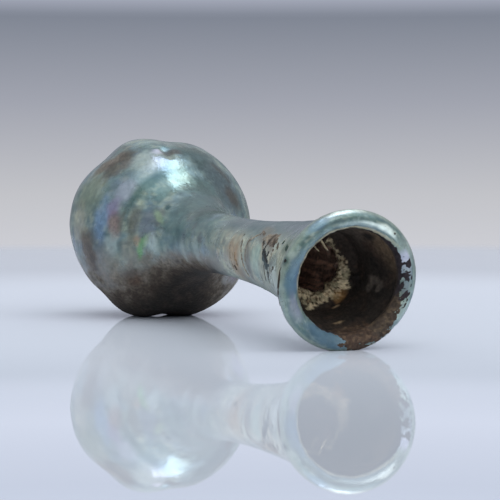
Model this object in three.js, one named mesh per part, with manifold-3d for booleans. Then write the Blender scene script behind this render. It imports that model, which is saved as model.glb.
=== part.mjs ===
// A small bottle of blown glass for scented oil, lying on its side as it was left: a globe with a flattened
// foot, a long neck, and a flared mouth with a thick rolled lip. It is one hollow, empty piece.
// Millimetres, +Z up, mouth towards +X, and the surface that it lies on is z = 0.
import * as THREE from "three";
import { mergeVertices } from "three/addons/utils/BufferGeometryUtils.js";
import Module from "manifold-3d";

const { degToRad, lerp, smoothstep } = THREE.MathUtils;

// Driving dimensions. A place "along" the bottle is its distance from the globe's centre towards the mouth.
const BODY_RADIUS = 20.2;
const NECK_RADIUS = 5.9; // outside, at the waist
const MOUTH_RADIUS = 12.7; // outside of the lip
const MOUTH_ALONG = 96.3;
const WAIST_ALONG = 46;
const FOOT_ALONG = -17.4;

// Walls
const BODY_WALL = 1.2;
const NECK_WALL = 1.15;
const FOOT_THICKNESS = 2.2;

// The foot: a flat ring round a shallow hollow, and a rounded edge
const FOOT_RADIUS = 8.6;
const HOLLOW_RADIUS = 5;
const HOLLOW_HEIGHT = 0.9;
const FOOT_EDGE_ANGLE = degToRad(-54); // where the edge has turned into the globe, up from the equator
const FOOT_EDGE_FULLNESS = 0.7;

// The shoulder, where the globe turns into the neck, and how far each end's direction carries
const SHOULDER_ANGLE = degToRad(46);
const SHOULDER_REACH = 9.5;
const NECK_REACH = 18;

// The flare, from the waist to the crease behind the lip
const FLARE_START = { reach: 24, spread: 0.25 };
const FLARE_END = { reach: 9, spread: 3.2 };

// The rolled lip, an oval in section, and where the flare's outer face meets it
const LIP_HALF_WIDTH = 1.67;
const LIP_HALF_HEIGHT = 1.6;
const LIP_CREASE = degToRad(-70);
const LIP_SEAM = degToRad(250);

// The ring of hardened earth that stays in the throat and is one with the inner surface
const CRUST_DEPTH = 16.5; // behind the mouth
const CRUST_HEIGHT = 2.6;
const CRUST_HALF_LENGTH = 2.6;

// What the blower's hand left uneven
const MOUTH_DROOP = degToRad(6);
const BEND_LENGTH = 30; // the last stretch of the neck, over which the mouth droops
const MOUTH_OVAL = 0.02; // how much wider, and lower, the lip is than a circle
const UP = 0;
const DOWN = Math.PI;
// A dent's depth is in mm, below zero for a swelling. Its latitude goes from the equator towards the mouth.
const DENTS = {
  undersideGroove: { depth: 1.6, latitude: 0, around: DOWN, reachAlong: 0.6, reachAround: 0.2 },
  topDip: { depth: 0.75, latitude: -0.1, around: UP + 0.06, reachAlong: 0.5, reachAround: 0.2 },
  topSwelling: { depth: -0.6, latitude: -0.1, around: UP - 0.32, reachAlong: 0.5, reachAround: 0.25 },
  nearFlat: { depth: 0.7, latitude: -0.28, around: DOWN + 0.95, reachAlong: 0.5, reachAround: 0.45 },
  farSwelling: { depth: -0.6, latitude: 0.28, around: DOWN - 0.85, reachAlong: 0.5, reachAround: 0.45 },
  upperFacet: { depth: 0.65, latitude: -0.23, around: UP - 0.66, reachAlong: 0.5, reachAround: 0.22 },
  sideFacet: { depth: 0.45, latitude: -0.37, around: DOWN + 1.3, reachAlong: 0.5, reachAround: 0.28 },
  lowerFacet: { depth: 0.95, latitude: -0.23, around: DOWN + 0.75, reachAlong: 0.5, reachAround: 0.24 },
};

// How far it is worn flat where it touches the surface, which keeps it from rolling
const REST_DEPTH = 0.25;

// Fineness: sides round the bottle, and steps along each stretch of its section
const SIDES = 48;
const MERGE_DISTANCE = 1e-4; // points closer than this are one
const HALVINGS = 24; // of a curve, to find a place on it
const TIPPING_PASSES = 6; // each brings the bottle's two low points closer to level
const CRUST_MARGIN = 1.2; // shares of the crust's half length that even steps keep clear of
const STEPS = { hollow: 2, footEdge: 3, body: 13, shoulder: 8, flare: 13, lip: 10, crust: 6, floor: 2 };

const point = (radius, along) => new THREE.Vector2(radius, along);
const onCircle = (radius, angle) => point(radius * Math.cos(angle), radius * Math.sin(angle));

function lipPoint(angle) {
  return point(
    MOUTH_RADIUS + LIP_HALF_WIDTH * (Math.cos(angle) - 1),
    MOUTH_ALONG + LIP_HALF_HEIGHT * (Math.sin(angle) - 1),
  );
}

// The outside of the glass, from the shoulder to the waist and from there to the crease behind the lip.
function neckCurves() {
  const shoulder = onCircle(BODY_RADIUS, SHOULDER_ANGLE);
  const shoulderEnd = onCircle(SHOULDER_REACH, SHOULDER_ANGLE + Math.PI / 2).add(shoulder);
  const waist = point(NECK_RADIUS, WAIST_ALONG);
  const waistStart = point(NECK_RADIUS, WAIST_ALONG - NECK_REACH);
  const crease = lipPoint(LIP_CREASE);
  const flareStart = point(NECK_RADIUS + FLARE_START.spread, WAIST_ALONG + FLARE_START.reach);
  const flareEnd = point(crease.x - FLARE_END.spread, crease.y - FLARE_END.reach);
  return {
    shoulder: new THREE.CubicBezierCurve(shoulder, shoulderEnd, waistStart, waist),
    flare: new THREE.CubicBezierCurve(waist, flareStart, flareEnd, crease),
  };
}

// Thickness of the neck's wall at a place along the bottle, with the crust in the throat.
function neckWallAt(along) {
  const glass = lerp(BODY_WALL, NECK_WALL, smoothstep(along, 0, WAIST_ALONG));
  const fromCrust = Math.abs(along - (MOUTH_ALONG - CRUST_DEPTH)) / CRUST_HALF_LENGTH;
  const crust = fromCrust < 1 ? CRUST_HEIGHT * Math.cos((fromCrust * Math.PI) / 2) : 0;
  return glass + crust;
}

// Points along a curve, without its last one.
function sampled(curve, steps) {
  return Array.from({ length: steps }, (_, i) => curve.getPoint(i / steps));
}

// The share of a curve at which it has come a given way along the bottle.
function shareAt(curve, along) {
  let [low, high] = [0, 1];
  for (let halving = 0; halving < HALVINGS; halving++) {
    const middle = (low + high) / 2;
    if (curve.getPoint(middle).y < along) low = middle;
    else high = middle;
  }
  return low;
}

// The inner face of the wall behind one place on a curve of the outside.
function insideOf(curve, share) {
  const outer = curve.getPoint(share);
  const tangent = curve.getTangent(share);
  const wall = neckWallAt(outer.y);
  return point(outer.x - tangent.y * wall, outer.y + tangent.x * wall);
}

// Points on the inner face behind a curve of the outside, from its far end back, without the last one.
function sampledInside(curve, steps) {
  const shares = Array.from({ length: steps }, (_, i) => 1 - i / steps);
  return shares.map((share) => insideOf(curve, share));
}

// The throat behind the flare: even steps, with closer ones over the crust.
function throatPoints(flare) {
  const crustAlong = MOUTH_ALONG - CRUST_DEPTH;
  const isClear = (share) => Math.abs(flare.getPoint(share).y - crustAlong) > CRUST_HALF_LENGTH * CRUST_MARGIN;
  const even = Array.from({ length: STEPS.flare }, (_, i) => 1 - i / STEPS.flare).filter(isClear);
  const overCrust = Array.from({ length: STEPS.crust + 1 }, (_, i) =>
    shareAt(flare, crustAlong + CRUST_HALF_LENGTH * (1 - (2 * i) / STEPS.crust)),
  );
  const shares = [...even, ...overCrust].sort((a, b) => b - a);
  return shares.map((share) => insideOf(flare, share));
}

// The foot's hollow, its flat ring and its rounded edge.
function footPoints() {
  const middle = point(0, FOOT_ALONG + HOLLOW_HEIGHT);
  const hollowEdge = point(HOLLOW_RADIUS, FOOT_ALONG);
  const hollow = new THREE.QuadraticBezierCurve(middle, point(HOLLOW_RADIUS / 2, middle.y), hollowEdge);
  const edgeTop = onCircle(BODY_RADIUS, FOOT_EDGE_ANGLE);
  const corner = point(lerp(FOOT_RADIUS, edgeTop.x, FOOT_EDGE_FULLNESS), FOOT_ALONG);
  const edge = new THREE.QuadraticBezierCurve(point(FOOT_RADIUS, FOOT_ALONG), corner, edgeTop);
  return [...sampled(hollow, STEPS.hollow), hollowEdge, ...sampled(edge, STEPS.footEdge)];
}

// The inside of the globe, from its shoulder down to the floor and in to the axis.
function insideBodyPoints() {
  const radius = BODY_RADIUS - BODY_WALL;
  const floorAlong = FOOT_ALONG + FOOT_THICKNESS;
  const floorAngle = Math.asin(floorAlong / radius);
  const floorEdge = onCircle(radius, floorAngle);
  const middle = point(0, floorAlong + HOLLOW_HEIGHT);
  const body = new THREE.EllipseCurve(0, 0, radius, radius, SHOULDER_ANGLE, floorAngle, true);
  const floor = new THREE.QuadraticBezierCurve(floorEdge, point(floorEdge.x / 2, floorAlong), middle);
  return [...sampled(body, STEPS.body), ...sampled(floor, STEPS.floor), middle];
}

// The bottle's section, from the axis round the outside, over the lip and back along the inside.
function section() {
  const { shoulder, flare } = neckCurves();
  const body = new THREE.EllipseCurve(0, 0, BODY_RADIUS, BODY_RADIUS, FOOT_EDGE_ANGLE, SHOULDER_ANGLE);
  const lip = Array.from({ length: STEPS.lip }, (_, i) =>
    lipPoint(lerp(LIP_CREASE, LIP_SEAM, i / STEPS.lip)),
  );
  return [
    ...footPoints(),
    ...sampled(body, STEPS.body),
    ...sampled(shoulder, STEPS.shoulder),
    ...sampled(flare, STEPS.flare),
    ...lip,
    ...throatPoints(flare),
    ...sampledInside(shoulder, STEPS.shoulder),
    ...insideBodyPoints(),
  ];
}

// How deep the globe is pressed in, seen from its centre.
function dentDepth(latitude, around) {
  return Object.values(DENTS).reduce((depth, dent) => {
    const turn = Math.atan2(Math.sin(around - dent.around), Math.cos(around - dent.around));
    const across = turn / dent.reachAround;
    const alongIt = (latitude - dent.latitude) / dent.reachAlong;
    return depth + dent.depth * Math.exp(-across * across - alongIt * alongIt);
  }, 0);
}

// Where a point of the even bottle goes once it is dented, oval at the mouth and bent near its end.
function shapedPoint(radius, along, around) {
  const distance = Math.hypot(radius, along);
  const scale = distance > 0 ? 1 - dentDepth(Math.atan2(along, radius), around) / distance : 1;
  const bendStart = MOUTH_ALONG - BEND_LENGTH;
  const bent = Math.max(0, (along - bendStart) / BEND_LENGTH);
  const straight = Math.min(along, bendStart) * scale;
  const beyond = along - Math.min(along, bendStart);
  const side = radius * scale * Math.sin(around) * (1 + MOUTH_OVAL * bent);
  const up = radius * scale * Math.cos(around) * (1 - MOUTH_OVAL * bent);
  const droop = MOUTH_DROOP * bent;
  return new THREE.Vector3(
    straight + beyond + up * Math.sin(droop),
    side,
    up * Math.cos(droop) - (beyond * droop) / 2,
  );
}

// The bottle with its axis level along X and the globe's centre at the origin.
function levelBottle() {
  const profile = section();
  const geometry = new THREE.LatheGeometry(profile, SIDES);
  geometry.deleteAttribute("normal");
  geometry.deleteAttribute("uv");
  const position = geometry.getAttribute("position");
  const flat = new THREE.Vector3();
  for (let i = 0; i < position.count; i++) {
    flat.fromBufferAttribute(position, i);
    const around = Math.atan2(-flat.x, flat.z); // the lathe's +Y becomes +X, with the same side out
    const shaped = shapedPoint(Math.hypot(flat.x, flat.z), flat.y, around);
    position.setXYZ(i, shaped.x, shaped.y, shaped.z);
  }
  return mergeVertices(geometry, MERGE_DISTANCE);
}

// Lowest point of a geometry on the globe's half or on the mouth's half.
function lowest(geometry, isMouthHalf) {
  const position = geometry.getAttribute("position");
  const found = new THREE.Vector3(0, 0, Infinity);
  for (let i = 0; i < position.count; i++) {
    const onMouthHalf = position.getX(i) > MOUTH_ALONG / 2;
    if (onMouthHalf === isMouthHalf && position.getZ(i) < found.z) found.fromBufferAttribute(position, i);
  }
  return found;
}

// Tips the bottle until globe and lip touch the same level surface, then sets that surface at z = 0.
function layDown(geometry) {
  for (let pass = 0; pass < TIPPING_PASSES; pass++) {
    const globe = lowest(geometry, false);
    const lip = lowest(geometry, true);
    geometry.rotateY(Math.atan2(lip.z - globe.z, lip.x - globe.x));
  }
  geometry.translate(0, 0, -lowest(geometry, false).z);
}

const wasm = await Module();
wasm.setup();

function solidOf(geometry) {
  const merged = mergeVertices(geometry, MERGE_DISTANCE);
  const vertProperties = Float32Array.from(merged.getAttribute("position").array);
  const triVerts = Uint32Array.from(merged.index.array);
  return new wasm.Manifold(new wasm.Mesh({ numProp: 3, vertProperties, triVerts }));
}

function geometryOf(solid) {
  const mesh = solid.getMesh();
  const geometry = new THREE.BufferGeometry();
  geometry.setAttribute("position", new THREE.BufferAttribute(mesh.vertProperties, mesh.numProp));
  geometry.setIndex(new THREE.BufferAttribute(mesh.triVerts, 1));
  return geometry;
}

// Takes off what is below z = 0, which leaves a flat spot at each place that the bottle rests on.
function wornFlat(geometry) {
  const length = 4 * MOUTH_ALONG;
  const below = new THREE.BoxGeometry(length, length, BODY_RADIUS);
  below.deleteAttribute("normal");
  below.deleteAttribute("uv");
  below.translate(0, 0, -BODY_RADIUS / 2);
  return geometryOf(solidOf(geometry).subtract(solidOf(below)));
}

// The outside is centred over the origin.
function centred(geometry) {
  geometry.computeBoundingBox();
  const middle = geometry.boundingBox.getCenter(new THREE.Vector3());
  geometry.translate(-middle.x, -middle.y, 0);
  return geometry;
}

function glassVessel() {
  const bottle = levelBottle();
  layDown(bottle);
  bottle.translate(0, 0, -REST_DEPTH);
  const geometry = centred(wornFlat(bottle));
  geometry.computeVertexNormals();
  const glass = new THREE.MeshStandardMaterial({ color: 0x6f8a86, roughness: 0.38, metalness: 0 });
  const mesh = new THREE.Mesh(geometry, glass);
  mesh.name = "glass_vessel";
  return mesh;
}

const unguentarium = new THREE.Group();
unguentarium.add(glassVessel());

export default unguentarium;
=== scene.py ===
"""A small bottle of blown glass for scented oil, long buried, lying on its side on a pale glossy floor.

The frame holds its true form. This script builds the same form as a fine mesh, from the same sizes, and
gives it its weathered skin, the ring and strands of earth in its throat and the flakes at its lip. Lengths
of the bottle are in millimetres until a mesh is made. The scene is in metres, with the mouth towards +X.
"""
import math
from collections import namedtuple

import bmesh
import bpy
import numpy as np
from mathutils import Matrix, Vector, noise


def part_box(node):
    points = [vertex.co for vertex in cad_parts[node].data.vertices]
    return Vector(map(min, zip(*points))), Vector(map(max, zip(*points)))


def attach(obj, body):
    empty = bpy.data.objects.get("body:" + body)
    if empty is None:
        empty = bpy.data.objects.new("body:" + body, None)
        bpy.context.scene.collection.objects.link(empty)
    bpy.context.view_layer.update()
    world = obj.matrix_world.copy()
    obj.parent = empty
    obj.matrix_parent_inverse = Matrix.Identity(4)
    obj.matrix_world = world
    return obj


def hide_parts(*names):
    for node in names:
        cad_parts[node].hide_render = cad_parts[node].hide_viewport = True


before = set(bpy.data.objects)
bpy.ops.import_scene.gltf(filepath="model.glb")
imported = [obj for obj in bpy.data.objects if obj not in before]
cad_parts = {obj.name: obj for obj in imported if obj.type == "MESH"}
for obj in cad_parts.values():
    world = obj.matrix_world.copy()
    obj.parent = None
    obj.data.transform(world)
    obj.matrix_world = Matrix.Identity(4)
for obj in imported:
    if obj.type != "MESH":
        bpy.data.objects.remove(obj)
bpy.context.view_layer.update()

MM = 0.001

# The bottle's sizes. A place "along" it is its distance from the globe's centre towards the mouth.
BODY_RADIUS = 20.2
NECK_RADIUS = 5.9
MOUTH_RADIUS = 12.7
MOUTH_ALONG = 96.3
WAIST_ALONG = 46
FOOT_ALONG = -17.4
BODY_WALL = 1.2
NECK_WALL = 1.15
FOOT_THICKNESS = 2.2
FOOT_RADIUS = 8.6
HOLLOW_RADIUS = 5
HOLLOW_HEIGHT = 0.9
FOOT_EDGE_ANGLE = math.radians(-54)
FOOT_EDGE_FULLNESS = 0.7
SHOULDER_ANGLE = math.radians(46)
SHOULDER_REACH = 9.5
NECK_REACH = 18
FLARE_START_REACH, FLARE_START_SPREAD = 24, 0.25
FLARE_END_REACH, FLARE_END_SPREAD = 9, 3.2
LIP_HALF_WIDTH = 1.67
LIP_HALF_HEIGHT = 1.6
LIP_CREASE = math.radians(-70)
LIP_FRONT = math.radians(90)
LIP_SEAM = math.radians(250)
CRUST_ALONG = MOUTH_ALONG - 16.5
CRUST_HEIGHT = 2.6
CRUST_HALF_LENGTH = 2.6
MOUTH_DROOP = math.radians(6)
BEND_LENGTH = 30
MOUTH_OVAL = 0.02
REST_DEPTH = 0.25
SETTLING_ROUNDS = 6

# Dents of the globe: depth in mm (below zero is a swelling), latitude from the equator towards the mouth,
# place around from the top, and how far it reaches each way, all in radians.
Dent = namedtuple("Dent", "depth latitude around reach_along reach_around")
DENTS = [
    Dent(1.6, 0, math.pi, 0.6, 0.2),
    Dent(0.75, -0.1, 0.06, 0.5, 0.2),
    Dent(-0.6, -0.1, -0.32, 0.5, 0.25),
    Dent(0.7, -0.28, math.pi + 0.95, 0.5, 0.45),
    Dent(-0.6, 0.28, math.pi - 0.85, 0.5, 0.45),
    Dent(0.65, -0.23, -0.66, 0.5, 0.22),
    Dent(0.45, -0.37, math.pi + 1.3, 0.5, 0.28),
    Dent(0.95, -0.23, math.pi + 0.75, 0.5, 0.24),
]

# Fineness of the mesh: points round the bottle, and rings for each mm of the section
SIDES = 240
CURVE_STEPS = 400
RINGS_ON_GLOBE = 1.5
RINGS_ON_NECK = 2.0
RINGS_ON_LIP = 4.0
RINGS_IN_THROAT = 3.4
RINGS_DEEP_INSIDE = 0.16
LIP_REACH = 6.5      # how far from the front of the lip the closest rings go
NECK_LENGTH = 58
THROAT_REACH = 34
SAME_PLACE = 0.001 * MM
LIP_CURVE = 7        # the lip is the seventh curve of the section


def bezier(corners, shares):
    """Points of a Bézier curve at the given shares of it, and the unit directions there."""
    level = [np.outer(np.ones(len(shares)), corner) for corner in corners]
    while len(level) > 2:
        level = [a + (b - a) * shares[:, None] for a, b in zip(level, level[1:])]
    start, end = level
    direction = end - start
    length = np.maximum(np.linalg.norm(direction, axis=1, keepdims=True), 1e-9)
    return start + direction * shares[:, None], direction / length


def arc(radius, start, end, shares):
    angles = start + (end - start) * shares
    return radius * np.stack([np.cos(angles), np.sin(angles)], 1)


def lip_point(angle):
    return np.stack([
        MOUTH_RADIUS + LIP_HALF_WIDTH * (np.cos(angle) - 1),
        MOUTH_ALONG + LIP_HALF_HEIGHT * (np.sin(angle) - 1),
    ], -1)


def neck_curves():
    """Corners of the outer curves from the shoulder to the waist and from there to the lip's crease."""
    shoulder = BODY_RADIUS * np.array([math.cos(SHOULDER_ANGLE), math.sin(SHOULDER_ANGLE)])
    turned = SHOULDER_ANGLE + math.pi / 2
    shoulder_end = shoulder + SHOULDER_REACH * np.array([math.cos(turned), math.sin(turned)])
    waist = np.array([NECK_RADIUS, WAIST_ALONG])
    waist_start = waist - (0, NECK_REACH)
    crease = lip_point(LIP_CREASE)
    flare_start = waist + (FLARE_START_SPREAD, FLARE_START_REACH)
    flare_end = crease - (FLARE_END_SPREAD, FLARE_END_REACH)
    return [shoulder, shoulder_end, waist_start, waist], [waist, flare_start, flare_end, crease]


def smooth(low, high, values):
    """0 below low, 1 above high, and an even S between them. The ends may be given the other way round."""
    share = np.clip((values - low) / (high - low), 0, 1)
    return share * share * (3 - 2 * share)


def neck_wall(along):
    """Thickness of the neck's wall, with the ring of earth in the throat."""
    glass = BODY_WALL + (NECK_WALL - BODY_WALL) * smooth(0, WAIST_ALONG, along)
    from_crust = np.clip(np.abs(along - CRUST_ALONG) / CRUST_HALF_LENGTH, 0, 1)
    return glass + CRUST_HEIGHT * np.cos(from_crust * math.pi / 2)


def inside_of(corners, shares):
    outer, direction = bezier(corners, shares)
    wall = neck_wall(outer[:, 1])[:, None]
    return outer + wall * np.stack([-direction[:, 1], direction[:, 0]], 1)


def section():
    """The whole section as many (radius, along) points, from the foot over the lip to the floor inside."""
    shares = np.linspace(0, 1, CURVE_STEPS, endpoint=False)
    shoulder, flare = neck_curves()
    middle = np.array([0, FOOT_ALONG + HOLLOW_HEIGHT])
    hollow_edge = np.array([HOLLOW_RADIUS, FOOT_ALONG])
    foot_edge = np.array([FOOT_RADIUS, FOOT_ALONG])
    edge_top = BODY_RADIUS * np.array([math.cos(FOOT_EDGE_ANGLE), math.sin(FOOT_EDGE_ANGLE)])
    corner = foot_edge + ((edge_top[0] - FOOT_RADIUS) * FOOT_EDGE_FULLNESS, 0)
    inner_radius = BODY_RADIUS - BODY_WALL
    floor_along = FOOT_ALONG + FOOT_THICKNESS
    floor_angle = math.asin(floor_along / inner_radius)
    floor_edge = inner_radius * np.array([math.cos(floor_angle), math.sin(floor_angle)])
    floor_middle = np.array([0, floor_along + HOLLOW_HEIGHT])
    return np.concatenate([
        bezier([middle, (HOLLOW_RADIUS / 2, middle[1]), hollow_edge], shares)[0],
        bezier([hollow_edge, foot_edge], shares)[0],
        bezier([foot_edge, corner, edge_top], shares)[0],
        arc(BODY_RADIUS, FOOT_EDGE_ANGLE, SHOULDER_ANGLE, shares),
        bezier(shoulder, shares)[0],
        bezier(flare, shares)[0],
        lip_point(LIP_CREASE + (LIP_SEAM - LIP_CREASE) * shares),
        inside_of(flare, 1 - shares),
        inside_of(shoulder, 1 - shares),
        arc(inner_radius, SHOULDER_ANGLE, floor_angle, shares),
        bezier([floor_edge, (floor_edge[0] / 2, floor_along), floor_middle], shares)[0],
        [floor_middle],
    ])


def rings():
    """The section with its points spread as fine as each stretch needs: (radius, along, behind_lip).

    behind_lip is the way over the surface from the front of the lip, in mm: above zero down the outside,
    below zero into the mouth.
    """
    dense = section()
    way = np.concatenate([[0], np.cumsum(np.linalg.norm(np.diff(dense, axis=0), axis=1))])
    after_front = (LIP_SEAM - LIP_FRONT) / (LIP_SEAM - LIP_CREASE)
    front = way[LIP_CURVE * CURVE_STEPS - int(CURVE_STEPS * after_front)]
    behind_lip = front - way
    per_mm = np.where(behind_lip > NECK_LENGTH, RINGS_ON_GLOBE, RINGS_ON_NECK)
    per_mm[behind_lip < 0] = RINGS_IN_THROAT
    per_mm[behind_lip < -THROAT_REACH] = RINGS_DEEP_INSIDE
    per_mm[np.abs(behind_lip) < LIP_REACH] = RINGS_ON_LIP
    counted = np.concatenate([[0], np.cumsum(per_mm[1:] * np.diff(way))])
    places = np.linspace(0, counted[-1], int(counted[-1]) + 1)
    return [np.interp(places, counted, values) for values in (dense[:, 0], dense[:, 1], behind_lip)]


# Two strands of earth across the throat: where each starts and ends, as mm along the bottle, mm from its
# middle line and degrees around, and how thick it is in mm
Strand = namedtuple("Strand", "start end thickness")
STRANDS = [
    Strand((82.3, 6.3, -2), (80.6, 4.0, 46), 0.44),
    Strand((80.4, 5.0, -8), (79.8, 3.0, 30), 0.36),
]
STRAND_STEPS = 9
STRAND_SIDES = 8
STRAND_SAG = 0.3
STRANDS_BEHIND = -18

# A point of the bottle's surface: everything that its finish is worked out from
Surface = namedtuple("Surface", "radius along behind_lip around even")


def surface():
    """Every point of the bottle, ring by ring, as flat arrays. Its even place is on a straight bottle."""
    radius, along, behind_lip = (np.repeat(values, SIDES) for values in rings())
    around = np.tile(np.arange(SIDES) * 2 * math.pi / SIDES, len(radius) // SIDES)
    around = np.where(around > math.pi, around - 2 * math.pi, around)
    even = np.stack([along, radius * np.sin(around), radius * np.cos(around)], 1)
    return Surface(radius, along, behind_lip, around, even)


def strand_end(along, radius, degrees):
    around = math.radians(degrees)
    return np.array([along, radius * math.sin(around), radius * math.cos(around)])


def strand_points(strand):
    """The points of one strand, ring by ring. It narrows to a point at both ends and bends down a little."""
    shares = np.linspace(0, 1, STRAND_STEPS)
    start, end = strand_end(*strand.start), strand_end(*strand.end)
    line = start + (end - start) * shares[:, None]
    line[:, 2] -= STRAND_SAG * np.sin(math.pi * shares)
    direction = (end - start) / np.linalg.norm(end - start)
    level = np.cross(direction, (0, 0, 1))
    level /= np.linalg.norm(level)
    upright = np.cross(level, direction)
    turns = np.arange(STRAND_SIDES) * 2 * math.pi / STRAND_SIDES
    ring = np.cos(turns)[:, None] * level + np.sin(turns)[:, None] * upright
    half = strand.thickness / 2 * np.sqrt(np.sin(math.pi * shares))
    even = (line[:, None] + half[:, None, None] * ring).reshape(-1, 3)
    radius = np.hypot(even[:, 1], even[:, 2])
    around = np.arctan2(even[:, 1], even[:, 2])
    return Surface(radius, even[:, 0], np.full(len(even), STRANDS_BEHIND), around, even)


def turn_from(around, place):
    """The angle from a place around to each point, between half a turn back and half a turn on."""
    return np.arctan2(np.sin(around - place), np.cos(around - place))


def dent_depth(latitude, around):
    depth = np.zeros(len(around))
    for dent in DENTS:
        across = turn_from(around, dent.around) / dent.reach_around
        along = (latitude - dent.latitude) / dent.reach_along
        depth += dent.depth * np.exp(-across ** 2 - along ** 2)
    return depth


def shaped(points):
    """The even bottle once it is dented, oval at the mouth and bent near its end."""
    distance = np.maximum(np.hypot(points.radius, points.along), 1e-6)
    scale = 1 - dent_depth(np.arctan2(points.along, points.radius), points.around) / distance
    bend_start = MOUTH_ALONG - BEND_LENGTH
    bent = np.maximum(0, (points.along - bend_start) / BEND_LENGTH)
    straight = np.minimum(points.along, bend_start)
    beyond = points.along - straight
    side = points.radius * scale * np.sin(points.around) * (1 + MOUTH_OVAL * bent)
    up = points.radius * scale * np.cos(points.around) * (1 - MOUTH_OVAL * bent)
    droop = MOUTH_DROOP * bent
    return np.stack([
        straight * scale + beyond + up * np.sin(droop),
        side,
        up * np.cos(droop) - beyond * droop / 2,
    ], 1)


def laid_down(places):
    """Tips the bottle until globe and lip touch the floor, and centres it where the frame has it."""
    on_mouth_half = places[:, 0] > MOUTH_ALONG / 2
    for _ in range(SETTLING_ROUNDS):
        globe = min(places[~on_mouth_half], key=lambda place: place[2])
        lip = min(places[on_mouth_half], key=lambda place: place[2])
        tip = math.atan2(lip[2] - globe[2], lip[0] - globe[0])
        x = places[:, 0] * math.cos(tip) + places[:, 2] * math.sin(tip)
        z = places[:, 2] * math.cos(tip) - places[:, 0] * math.sin(tip)
        places = np.stack([x, places[:, 1], z], 1)
    low, high = places.min(0), places.max(0)
    box_low, box_high = (np.array(corner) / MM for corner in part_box("glass_vessel"))
    middle = (box_low + box_high) / 2 - (low + high) / 2
    return places + (middle[0], middle[1], -low[2] - REST_DEPTH)


def faces_of(ring_count, sides):
    """Quads between neighbouring rings, facing out."""
    first = np.arange((ring_count - 1) * sides).reshape(ring_count - 1, sides)
    beside = np.roll(first, -1, axis=1)
    return np.stack([first, first + sides, beside + sides, beside], -1).reshape(-1, 4)


def normals_of(places, ring_count):
    """Outward direction at each point, from its neighbours along and around."""
    grid = places.reshape(ring_count, SIDES, 3)
    along = np.gradient(grid, axis=0)
    around = np.roll(grid, -1, axis=1) - np.roll(grid, 1, axis=1)
    cross = np.cross(along, around).reshape(-1, 3)
    return cross / np.maximum(np.linalg.norm(cross, axis=1, keepdims=True), 1e-12)


def grain(places, size, octaves=3, seed=0.0):
    """Smooth noise of about -1 to 1 at each place, with lumps of the given size in mm."""
    moved = places / size + seed
    return np.array([noise.fractal(place, 0.8, 2.0, octaves) for place in moved.tolist()])


def mesh_object(name, places, faces):
    """A mesh object from places in mm."""
    mesh = bpy.data.meshes.new(name)
    mesh.from_pydata((places * MM).tolist(), [], faces.tolist())
    mesh.validate()
    mesh.shade_smooth()
    made = bpy.data.objects.new(name, mesh)
    bpy.context.scene.collection.objects.link(made)
    return made


def give_attribute(obj, name, values):
    """A value or a colour for each point of the mesh, which its material reads."""
    is_colour = values.ndim == 2
    layer = obj.data.attributes.new(name, "FLOAT_COLOR" if is_colour else "FLOAT", "POINT")
    if is_colour:
        values = np.concatenate([values, np.ones((len(values), 1))], 1)
    layer.data.foreach_set("color" if is_colour else "value", values.astype(np.float32).ravel())


def nodes_of(tree):
    """Empties a node tree and gives a function that adds a node and sets its inputs by name."""
    tree.nodes.clear()

    def add(kind, inputs=None, **settings):
        node = tree.nodes.new(kind)
        for name, value in settings.items():
            setattr(node, name, value)
        for name, value in (inputs or {}).items():
            if isinstance(value, bpy.types.NodeSocket):
                tree.links.new(value, node.inputs[name])
            else:
                node.inputs[name].default_value = value
        return node

    return add


def mapped(add, value, start, end, low=0, high=1, **settings):
    """The value with start to end of it spread over low to high, and held at both ends."""
    return add("ShaderNodeMapRange", {
        "Value": value, "From Min": start, "From Max": end, "To Min": low, "To Max": high,
    }, **settings).outputs["Result"]


def painted(add, name, output="Fac"):
    """What the mesh's attribute of that name says."""
    return add("ShaderNodeAttribute", attribute_name=name).outputs[output]


def tone(red, green, blue):
    """A screen colour of 0 to 255 as the linear colour that a shader takes."""
    return tuple(((c / 255 + 0.055) / 1.055) ** 2.4 for c in (red, green, blue))


# The tints of the weathered skin, the bare dark glass, and the earth, as screen colours
TINTS = {name: tone(*screen) for name, screen in {
    "teal": (90, 104, 97),
    "sage": (124, 132, 118),
    "pale_sage": (150, 154, 135),
    "steel": (94, 111, 124),
    "slate": (59, 70, 73),
    "deep_teal": (60, 84, 80),
    "moss": (38, 56, 50),
    "blue": (90, 112, 140),
    "deep_blue": (58, 80, 102),
    "violet": (108, 98, 122),
    "dusk": (84, 89, 99),
    "wine": (102, 74, 72),
    "lilac": (130, 132, 144),
    "clear": (168, 166, 184),
    "mauve": (106, 97, 88),
    "olive": (92, 98, 76),
    "green": (84, 130, 60),
    "lime": (130, 150, 108),
    "silver": (152, 163, 157),
    # White is painted light: highlights on the lip, and light on the neck's shaded lower side
    "painted_light": (222, 232, 224),
    "cyan": (134, 170, 162),
    "cream": (178, 167, 138),
    "tan": (138, 118, 92),
    "sand": (134, 126, 113),
    "pale_earth": (204, 188, 154),
    "orange": (144, 106, 74),
    "rust": (66, 52, 43),
    "brown": (60, 51, 43),
    "dun": (82, 71, 60),
    "umber": (49, 42, 37),
    "soot": (25, 24, 23),
    "plum": (38, 33, 36),
    "amber": (150, 112, 66),
    "bore": (208, 172, 152),
}.items()}

# A patch of one tint: mm behind the front of the lip, degrees around from the top, its half
# length down the bottle and half width round it in mm, its strength, and how far it leans in degrees.
Patch = namedtuple("Patch", "tint behind around length width strength lean", defaults=[1, 0])


def patches(*rows):
    return [Patch(*row) for row in rows]


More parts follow.
